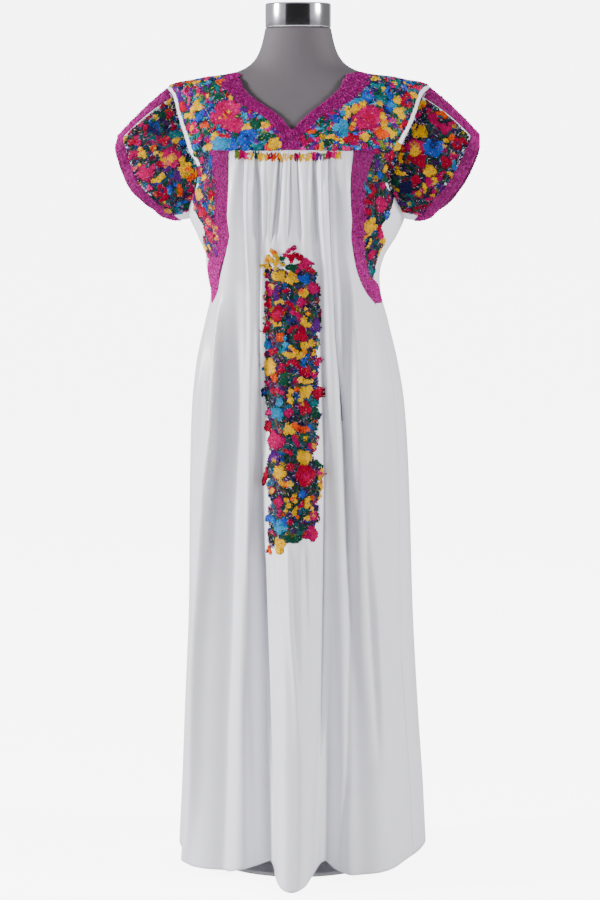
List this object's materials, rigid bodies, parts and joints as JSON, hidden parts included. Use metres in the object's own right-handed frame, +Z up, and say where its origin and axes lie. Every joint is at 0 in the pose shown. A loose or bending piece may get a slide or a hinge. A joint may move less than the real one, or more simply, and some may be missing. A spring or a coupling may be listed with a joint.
{
  "type": "huipil dress on a dress form",
  "caption": "Long white cotton huipil dress with embroidered yoke and sleeves and purple crochet bands, standing on a limbless dress form.",
  "frame": {"origin": "centre of the round base's underside, on the floor", "axes": "+Z up along the pole, the dress's front faces -Y, the wearer's left is +X"},
  "size_m": [0.577, 0.4626, 1.375],
  "materials": {
    "purple_crochet": "matte",
    "embroidered_cotton": "matte",
    "white_cotton": "matte",
    "grey_jersey": "matte",
    "chromed_metal": "polished",
    "dark_painted_steel": "satin"
  },
  "bodies": {
    "root": {"stand_base": "dark_painted_steel", "stand_pole": "chromed_metal", "form_torso": "grey_jersey", "form_neck_cap": "chromed_metal", "neck_band": "purple_crochet", "yoke": "embroidered_cotton", "front_panel": "white_cotton", "back_panel": "white_cotton", "side_panel_l": "white_cotton", "band_front_l": "purple_crochet", "armhole_strip_l": "white_cotton", "sleeve_l": "embroidered_cotton", "sleeve_top_strip_l": "purple_crochet", "sleeve_hem_band_l": "purple_crochet", "side_panel_r": "white_cotton", "band_front_r": "purple_crochet", "armhole_strip_r": "white_cotton", "sleeve_r": "embroidered_cotton", "sleeve_top_strip_r": "purple_crochet", "sleeve_hem_band_r": "purple_crochet"}
  },
  "joints": []
}
